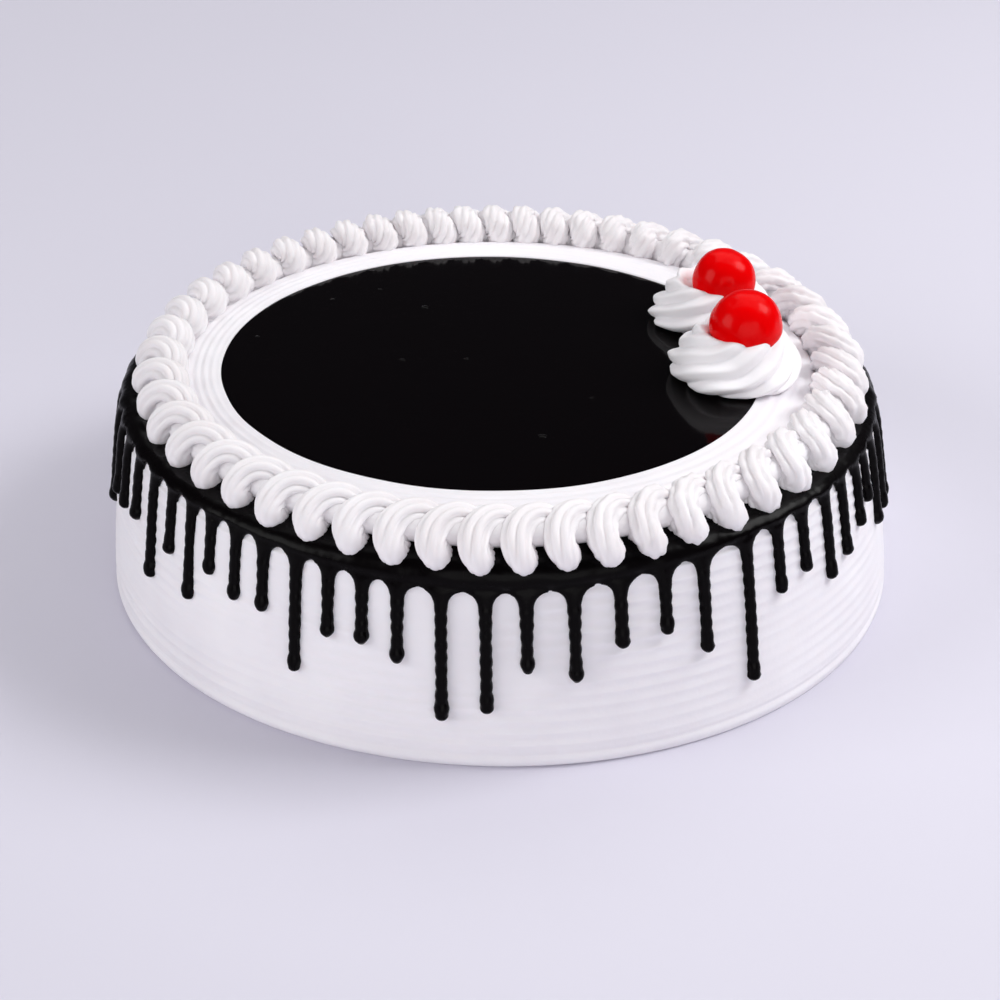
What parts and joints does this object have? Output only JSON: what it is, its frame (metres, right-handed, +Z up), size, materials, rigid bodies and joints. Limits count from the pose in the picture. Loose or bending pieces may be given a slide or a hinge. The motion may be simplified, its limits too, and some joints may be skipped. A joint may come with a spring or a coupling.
{
  "type": "black forest cake",
  "caption": "Whole round cream-coated cake with a glossy dark chocolate top, chocolate drips down its combed side, a piped rope border and piped rosettes topped with cherries.",
  "frame": {"origin": "middle of the underside, on the surface that the cake stands on", "axes": "+Z up, -Y towards the front of the cake, +X towards the side with the rosettes"},
  "size_m": [0.2106, 0.2116, 0.0829],
  "materials": {
    "coating_cream": "whipped cream, smoothed and combed, soft satin",
    "piped_cream": "whipped cream, piped, soft satin",
    "rosette_cream": "whipped cream, piped, faintly pink by the cherries",
    "top_chocolate": "poured dark chocolate glaze, mirror gloss",
    "drip_chocolate": "set dark chocolate drip, glossy",
    "cherry": "glazed cherry, wet gloss"
  },
  "bodies": {
    "root": {"cake_body": "coating_cream", "chocolate_glaze": "top_chocolate", "chocolate_drip_band": "drip_chocolate", "piped_rope_border": "piped_cream", "rosette_front": "rosette_cream", "rosette_back": "rosette_cream", "cherry_front": "cherry", "cherry_back": "cherry"}
  },
  "joints": []
}
